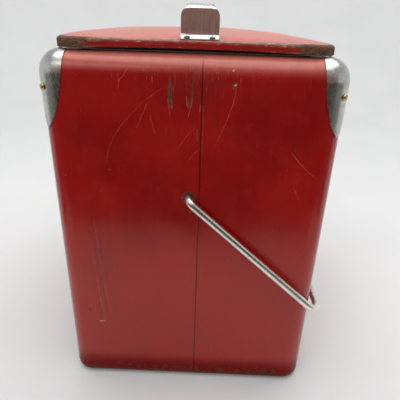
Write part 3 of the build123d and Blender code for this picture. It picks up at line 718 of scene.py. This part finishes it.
# ================================================================ lid skin
LID_W, LID_D, LID_R, LID_Z0, LID_Z1 = 301.0, 428.0, 28.0, 452.4, 460.2
cad_lid = BVHTree.FromPolygons(
    [v.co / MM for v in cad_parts["lid_skin"].data.vertices],
    [tuple(q.vertices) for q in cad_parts["lid_skin"].data.polygons],
)
px_ = [-150.5, -147.5, -142.0, -125.0, -95.0, -60.0, -20.0, 20.0, 60.0, 95.0, 125.0, 142.0, 150.5]
ph_ = [0.0, 2.1, 4.3, 5.6, 6.6, 7.8, 8.8, 9.0, 8.0, 5.9, 3.6, 1.9, 0.0]
gd_, gh_ = [0, 6, 14, 26, 42, 62, 90, 118, 214], [0, 0.13, 0.29, 0.49, 0.67, 0.83, 0.95, 1.0, 1.0]


def smooth_interp(v, xs, ys, spread):
    """Piecewise line with its kinks smoothed over spread."""
    return sum(np.interp(v + o * spread, xs, ys) for o in (-1, -0.5, 0, 0.5, 1)) / 5


def half_width(y):
    a = np.clip(np.abs(y) - (LID_D / 2 - LID_R), 0, LID_R)
    return LID_W / 2 - LID_R + np.sqrt(np.maximum(LID_R**2 - a**2, 0))


def lid_height(x, y):
    """Height of the lid's upper face: fuller along the left side than the right."""
    u = np.clip(x / half_width(y), -1, 1) * LID_W / 2
    spread = np.clip((LID_W / 2 - np.abs(u)) * 0.6, 0, 14)
    across = sum(np.interp(u + o * spread, px_, ph_) for o in (-1, -0.5, 0, 0.5, 1)) / 5
    d = LID_D / 2 - np.abs(y)
    along = smooth_interp(d, gd_, gh_, np.clip(d * 0.4, 0, 10))
    z = LID_Z1 + across * along
    z += 0.35 * np.sin(x * 0.031 + 1.0) * np.sin(y * 0.022 + 0.4) * np.clip(d / 40, 0, 1) * np.clip((150 - np.abs(u)) / 40, 0, 1)
    for dx, dy, r, depth in ((70, -120, 26, 0.8), (-60, 40, 34, 0.9), (20, 130, 20, 0.6), (-105, -150, 15, 0.5), (100, 60, 16, 0.6)):
        z -= depth * np.exp(-((x - dx) ** 2 + (y - dy) ** 2) / (r * r))
    z -= 1.6 * np.exp(-((LID_W / 2 - np.abs(x)) ** 2 + d**2) / 24.0**2)
    near = np.exp(-(((x - 5.2) / 27) ** 4)) * np.clip((46 - d) / 22, 0, 1)
    for i in np.nonzero(near > 0.01)[0]:
        hit = cad_lid.ray_cast(Vector((x[i], y[i], 600)), Vector((0, 0, -1)))
        if hit[0] is not None:
            z[i] = z[i] * (1 - near[i]) + hit[0].z * near[i]
    return z


lid_front = list(np.linspace(0, 1, 41))


def lid_ring(inset):
    r = max(LID_R - inset, 1.0)
    return outline(LID_W / 2 - inset, LID_W / 2 - inset + 1e-3, LID_D / 2 - inset, r, lid_front, 58, 14)


def rim_bow(o):
    """The rim's edges lift a little in the middle of each side."""
    x, y = o[:, 0], o[:, 1]
    return 1.0 * np.clip(1 - (x / 150) ** 2, 0, 1) * (np.abs(y) > 205) + 0.7 * np.clip(1 - (y / 214) ** 2, 0, 1) * (np.abs(x) > 144)


ER = 3.4
loops, edge, ends_ = [], [], []


def add_ring(o, z, e):
    loops.append(np.column_stack([o, z]))
    edge.append(np.full(len(o), e))


plan24 = lid_ring(24.0)
pole_z = float(lid_height(np.array([0.0]), np.array([0.0]))[0])
scales = np.linspace(0.03, 1, 30)
for s in scales[:-1]:
    o = plan24 * s
    add_ring(o, lid_height(o[:, 0], o[:, 1]), 0.0)
for inset in (24.0, 18.0, 13.0, 9.5, 7.0, 5.0, 4.2, ER):
    o = lid_ring(inset)
    add_ring(o, lid_height(o[:, 0], o[:, 1]), max(0.0, 1 - (inset - ER) / 7.5))
rim_o = lid_ring(ER)
rim_z = lid_height(rim_o[:, 0], rim_o[:, 1])
for a in np.linspace(0, math.pi / 2, 6)[1:]:
    o = lid_ring(ER * (1 - math.sin(a)))
    add_ring(o, rim_z - ER * (1 - math.cos(a)), 1.0 - 0.25 * a)
low = LID_Z0 - 3.0 + 3.2 * rim_bow(lid_ring(0))
side = lid_ring(0)
add_ring(side, rim_z * 0.55 + (low + 2.6) * 0.45 - ER * 0.45, 0.34)
add_ring(side, low + 2.9, 0.12)
# hem: rolled to the inside round a bead
for a in np.linspace(0, math.pi, 8):
    inset = 1.35 * (1 - math.cos(a)) - 0.25 * math.sin(a / 2 * 2) * (a < 1.2)
    add_ring(lid_ring(max(inset, 0.0)), low + 1.4 - 1.4 * math.sin(a), 0.62)
add_ring(lid_ring(2.7), low + 3.4, 0.0)
add_ring(lid_ring(2.1), low + 3.5, 0.0)
# back up inside the sheet
add_ring(lid_ring(0.9), low + 3.0, 0.0)
add_ring(lid_ring(0.9), rim_z - 2.8, 0.0)
add_ring(lid_ring(2.6), rim_z - 0.95, 0.0)
for inset in (7.0, 13.0, 24.0):
    o = lid_ring(inset)
    add_ring(o, lid_height(o[:, 0], o[:, 1]) - T, 0.0)
for s in list(scales[:-1])[::-3]:
    o = plan24 * s
    add_ring(o, lid_height(o[:, 0], o[:, 1]) - T, 0.0)
n, rows = len(plan24), len(loops)
verts = np.vstack([np.concatenate(loops), [0, 0, pole_z], [0, 0, pole_z - T]])
faces = rings_to_faces(rows, n, False) + fan(0, n, len(verts) - 2) + fan((rows - 1) * n, n, len(verts) - 1)
edge_all = np.concatenate(edge + [[0.0, 0.0]])
vx, vy = verts[:, 0], verts[:, 1]
to_side = LID_W / 2 - np.abs(vx)
to_end = LID_D / 2 - np.abs(vy)
corner_near = np.clip(1.15 - np.maximum(to_side, 0) / 46, 0, 1) * np.clip(1 - np.maximum(to_end, 0) / 24, 0, 1)
ends_all = np.clip(1.5 * corner_near * (1 + 0.3 * (vx > 0)) + 0.55 * edge_all * np.clip((np.abs(vx) - 70) / 60, 0, 1), 0, 1)
lid_skin = add_mesh(
    "lid_skin_formed", verts, faces, mats["lid"], "lid", ("lid_skin",), sharp=60,
    attrs={"edge": edge_all, "ends": ends_all},
)


# ================================================================ pressed and turned parts
def refine(name, node, body, mat, width, segments=2, angle=38.0):
    """A CAD node's form with its sharp edges broken, as a piece of its own."""
    bm = bmesh.new()
    bm.from_mesh(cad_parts[node].data)
    bmesh.ops.remove_doubles(bm, verts=bm.verts, dist=3e-6)
    bmesh.ops.dissolve_degenerate(bm, edges=bm.edges, dist=2e-6)
    bmesh.ops.dissolve_limit(bm, angle_limit=math.radians(0.25), verts=bm.verts, edges=bm.edges)
    me = bpy.data.meshes.new(name)
    bm.to_mesh(me)
    bm.free()
    me.materials.clear()
    me.materials.append(mat)
    me.polygons.foreach_set("use_smooth", [True] * len(me.polygons))
    o = bpy.data.objects.new(name, me)
    scene.collection.objects.link(o)
    mod = o.modifiers.new("edges", "BEVEL")
    mod.width, mod.segments, mod.limit_method, mod.angle_limit = width * MM, segments, "ANGLE", math.radians(angle)
    mod.use_clamp_overlap = True
    mod.miter_outer = "MITER_ARC"
    mod.harden_normals = True
    mod = o.modifiers.new("normals", "WEIGHTED_NORMAL")
    mod.keep_sharp = True
    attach(o, body)
    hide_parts(node)
    return o


keep = {
    "tank": "zinc", "wall_insulation": "fibre", "floor_insulation": "fibre",
    "front_pivot_plate": "steel", "rear_pivot_plate": "steel", "front_pivot_bush": "dark_steel", "rear_pivot_bush": "dark_steel",
    "front_left_cap": "cap", "front_right_cap": "cap", "rear_left_cap": "cap", "rear_right_cap": "cap",
    "cap_screws": "brass", "drain_tube": "steel", "drain_seal": "rubber", "drain_nut": "steel", "drain_cap": "steel",
    "lid_pan": "zinc", "lid_insulation": "fibre", "lid_gasket": "rubber",
    "front_lid_clip": "clip", "rear_lid_clip": "clip", "clip_rivets": "clip",
    "bail_rod": "rod", "bail_washers": "steel", "bail_retainers": "steel",
    "outer_shell": "case", "base_pan": "base", "lid_skin": "lid",
}
for node, key in keep.items():
    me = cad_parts[node].data
    me.materials.clear()
    me.materials.append(mats[key])


# the lid's filling, pressed down a little where the skin's corners come low
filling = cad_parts["lid_insulation"].data
fv = np.array([v.co for v in filling.vertices]) / MM
fz0, fz1 = fv[:, 2].min(), fv[:, 2].max()
fv[:, 2] = fz0 + (fv[:, 2] - fz0) * (1 - 1.7 / (fz1 - fz0))
fv[:, :2] *= 0.997
add_mesh("lid_filling", fv, [tuple(q.vertices) for q in filling.polygons], mats["fibre"], "lid", ("lid_insulation",))


# the lid brackets: one bent strip with round shoulders and rolled-off edges
H, CLIP_X, CLIP_W, CLIP_T, HALF_D = 448.0, 5.2, 40.5, 1.4, 228.5


def rounded_path(pts, radii, steps=7):
    """A polyline's corners turned into arcs."""
    pts = [np.array(q, float) for q in pts]
    out = [pts[0]]
    for a, b, c, radius in zip(pts, pts[1:], pts[2:], radii):
        u, v = (a - b) / np.linalg.norm(a - b), (c - b) / np.linalg.norm(c - b)
        half = math.acos(float(np.clip(u @ v, -1, 1))) / 2
        cut = radius / math.tan(half)
        mid = b + (u + v) / np.linalg.norm(u + v) * radius / math.sin(half)
        p0, p1 = b + u * cut - mid, b + v * cut - mid
        for k in np.linspace(0, 1, steps):
            w = p0 * (1 - k) + p1 * k
            out.append(mid + w / np.linalg.norm(w) * radius)
    return out + [pts[-1]]


def bracket(name, node, end):
    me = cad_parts[node].data
    tree = BVHTree.FromPolygons([v.co / MM for v in me.vertices], [tuple(q.vertices) for q in me.polygons])
    toe, root = (tree.ray_cast(Vector((CLIP_X, end * (HALF_D - u), 600)), Vector((0, 0, -1)))[0].z for u in (17.4, 22.4))
    slope = (root - toe) / 5.0
    lift = CLIP_T / 2 * math.sqrt(1 + slope**2)
    flange = lambda u: toe + slope * (u - 17.4) - lift
    path = rounded_path(
        [(16.5, flange(16.5)), (25.5, flange(25.5)), (25.5, H + 43.4), (35.0, H + 47.0), (40.5, H + 41.0), (40.5, H + 33.0)],
        (5.6, 2.4, 2.4, 2.6),
    )
    # closer stations along the straight runs
    fine = [path[0]]
    for a, b in zip(path, path[1:]):
        k = max(1, int(np.linalg.norm(b - a) / 1.6))
        fine += [a + (b - a) * i / k for i in range(1, k + 1)]
    path = np.array(fine)
    tang = np.gradient(path, axis=0)
    tang /= np.linalg.norm(tang, axis=1)[:, None]
    norm = np.column_stack([-tang[:, 1], tang[:, 0]])
    run = np.concatenate([[0], np.cumsum(np.linalg.norm(np.diff(path, axis=0), axis=1))])
    full, tuck = CLIP_W / 2, 6.2
    rings = []
    top = run[np.argmax(path[:, 1] > H + 42.7)]
    for q, m, s_ in zip(path, norm, run):
        w = full
        if s_ > top - 8.8:
            k = min((s_ - (top - 8.8)) / 8.8, 1.0)
            w = full - tuck * (1 - math.sqrt(1 - k * k))
        if s_ < 2.2:
            w = min(w, full - 2.2 + math.sqrt(max(2.2**2 - (2.2 - s_) ** 2, 0)))
        left = run[-1] - s_
        if left < 2.5:
            w = min(w, full - tuck - 2.5 + math.sqrt(max(2.5**2 - (2.5 - left) ** 2, 0)))
        w = min(w, full - 0.02)
        e = 0.5
        half_ring = []
        for sign in (1, -1):
            xs = np.linspace(-(w - e), w - e, 9) * sign
            half_ring += [(x, sign * CLIP_T / 2) for x in xs]
            half_ring += [(sign * (w - e + e * math.sin(a)), sign * (CLIP_T / 2 - e + e * math.cos(a))) for a in np.linspace(0, math.pi / 2, 4)[1:]]
            half_ring += [(sign * (w - e + e * math.sin(a)), -sign * (CLIP_T / 2 - e + e * math.cos(a))) for a in np.linspace(math.pi / 2, 0, 4)[:-1]]
        rings.append([(CLIP_X + x, end * (HALF_D - (q[0] + m[0] * o)), q[1] + m[1] * o) for x, o in half_ring])
    n_ = len(rings[0])
    vs = [c for ring_ in rings for c in ring_]
    fs = rings_to_faces(len(rings), n_, False)
    fs += [tuple(range(n_)), tuple(range((len(rings) - 1) * n_, len(rings) * n_))]
    return add_mesh(name, vs, fs, mats["clip"], "lid", (node,), sharp=50)


bracket("front_bracket", "front_lid_clip", -1)
bracket("rear_bracket", "rear_lid_clip", 1)
for name, node, body, slot, key, width in (
    ("bracket_rivets", "clip_rivets", "lid", "plain_steel", "dark_steel", 0.25),
    ("tube_nut", "drain_nut", "case", "plain_steel", "steel", 0.35),
    ("lid_seal", "lid_gasket", "lid", "gasket_rubber", "rubber", 0.8),
    ("screws", "cap_screws", "case", "brass_screw", "brass", 0.18),
):
    refine(name, node, body, mats[key], width)
# the drain's screw cap, fluted for the fingers
dv = np.array([v.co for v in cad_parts["drain_cap"].data.vertices]) / MM
(dx0, dy0, dz0), (dx1, dy1, dz1) = dv.min(axis=0), dv.max(axis=0)
dcx, dcz, dr = (dx0 + dx1) / 2, (dz0 + dz1) / 2, (dx1 - dx0) / 2
bore = float(np.min(np.hypot(dv[:, 0] - dcx, dv[:, 2] - dcz)[np.hypot(dv[:, 0] - dcx, dv[:, 2] - dcz) > 1]))
turn_ = np.linspace(0, 2 * math.pi, 192, endpoint=False)
flute = 0.5 - 0.5 * np.cos(turn_ * 24)
stations = [  # along the axis from the open end, radius, depth of the flutes
    (10.0, bore, 0), (0.0, bore, 0), (0.0, dr - 1.1, 0), (0.3, dr - 0.7, 0), (0.8, dr - 0.6, 0.0), (1.2, dr - 0.02, 0.5), (2.0, dr - 0.02, 0.75),
    (8.4, dr - 0.02, 0.75), (9.2, dr - 0.1, 0.45), (9.8, dr - 0.6, 0), (10.4, dr - 0.7, 0), (11.6, dr - 1.2, 0), (12.2, dr - 1.9, 0), (12.45, dr - 3.0, 0), (12.0, dr - 4.2, 0),
]
loops_ = []
for a_, r_, f_ in stations:
    r_all = r_ - f_ * flute
    loops_.append(np.column_stack([dcx + r_all * np.cos(turn_), np.full(192, dy0 + a_), dcz + r_all * np.sin(turn_)]))
cap_v = np.vstack(loops_ + [[[dcx, dy0 + 10.0, dcz]], [[dcx, dy0 + 12.0, dcz]]])
cap_f = rings_to_faces(len(stations), 192, False) + fan(0, 192, len(cap_v) - 2) + fan((len(stations) - 1) * 192, 192, len(cap_v) - 1)
add_mesh("plug_cap", cap_v, cap_f, mats["steel"], "drain_plug", ("drain_cap",), sharp=40)

for name, node in (
    ("front_left_corner", "front_left_cap"), ("front_right_corner", "front_right_cap"),
    ("rear_left_corner", "rear_left_cap"), ("rear_right_corner", "rear_right_cap"),
):
    refine(name, node, "case", mats["cap"], 0.45)


# ================================================================ studio
def stage_mesh(name, verts, faces, mat, smooth=False):
    me = bpy.data.meshes.new(name)
    me.from_pydata([tuple(v) for v in verts], [], faces)
    me.materials.append(mat)
    me.polygons.foreach_set("use_smooth", [smooth] * len(me.polygons))
    o = bpy.data.objects.new(name, me)
    scene.collection.objects.link(o)
    return o


t = Tree("studio_sweep")
paper = t.mix(t.ramp(t.noise(t.p, 260, 3, 0.5), 0.3, 0.7), (0.80, 0.80, 0.795), (0.83, 0.83, 0.825))
paper = t.finish(paper, 0.85, normal=t.bump(t.noise(t.p, 5, 3, 0.6), 0.05, 0.0005))
# floor that turns up into a wall all round
prof = [(0.0, 0.0), (0.5, 0.0), (1.0, 0.0), (1.5, 0.0)]
prof += [(1.5 + 1.0 * math.sin(a), 1.0 * (1 - math.cos(a))) for a in np.linspace(0, math.pi / 2, 14)[1:]]
prof += [(2.5, 1.6), (2.5, 2.4)]
n = 96
vs = [(r * math.cos(2 * math.pi * j / n), r * math.sin(2 * math.pi * j / n), z) for r, z in prof[1:] for j in range(n)]
fs = [(i * n + j, i * n + (j + 1) % n, (i + 1) * n + (j + 1) % n, (i + 1) * n + j) for i in range(len(prof) - 2) for j in range(n)]
vs.append((0, 0, 0))
fs += [((j + 1) % n, j, len(vs) - 1) for j in range(n)]
stage_mesh("sweep", vs, fs, paper, True)


def glow(name, color, strength):
    mat = bpy.data.materials.new(name)
    mat.use_nodes = True
    nt = mat.node_tree
    nt.nodes.remove(nt.nodes["Principled BSDF"])
    e = nt.nodes.new("ShaderNodeEmission")
    e.inputs["Color"].default_value = (*color, 1)
    e.inputs["Strength"].default_value = strength
    nt.links.new(e.outputs[0], nt.nodes["Material Output"].inputs["Surface"])
    return mat


def card(name, corners, mat):
    """A board that only reflections see."""
    o = stage_mesh(name, corners, [(0, 1, 2, 3)], mat)
    o.visible_camera = o.visible_diffuse = o.visible_shadow = o.visible_transmission = o.visible_volume_scatter = False
    return o


FY = -0.665
card("flag_low", [(-0.62, FY, 0.002), (0.66, FY, 0.002), (0.66, FY, 0.44), (-0.62, FY, 0.44)], glow("flag_dark", (0.048, 0.050, 0.042), 1))
card("flag_high", [(-0.62, FY, 0.44), (0.66, FY, 0.44), (0.66, FY, 0.86), (-0.62, FY, 0.86)], glow("flag_brown", (0.27, 0.155, 0.135), 1))


for side_name, sx in (("flag_left", -0.62), ("flag_right", 0.66)):
    card(side_name, [(sx, FY, 0.002), (sx, -0.26, 0.002), (sx, -0.26, 0.42), (sx, FY, 0.42)], glow(side_name + "_grey", (0.175, 0.172, 0.16), 1))


def area(name, place, target, size, power, color=(1, 1, 1)):
    d = bpy.data.lights.new(name, "AREA")
    d.shape, d.size, d.size_y, d.energy, d.color = "RECTANGLE", size[0], size[1], power, color
    o = bpy.data.objects.new(name, d)
    scene.collection.objects.link(o)
    o.location = place
    o.rotation_mode = "QUATERNION"
    o.rotation_quaternion = (Vector(target) - Vector(place)).to_track_quat("-Z", "Y")
    return o


area("overhead", (0.1, 0.15, 2.3), (0, 0, 0.2), (2.4, 2.4), 42)
area("front_fill", (-0.9, -1.7, 1.9), (0, 0, 0.25), (1.2, 0.9), 6)

world = bpy.data.worlds.new("world")
scene.world = world
world.use_nodes = True
world.node_tree.nodes["Background"].inputs[0].default_value = (0.94, 0.97, 1.0, 1)
world.node_tree.nodes["Background"].inputs[1].default_value = 0.37
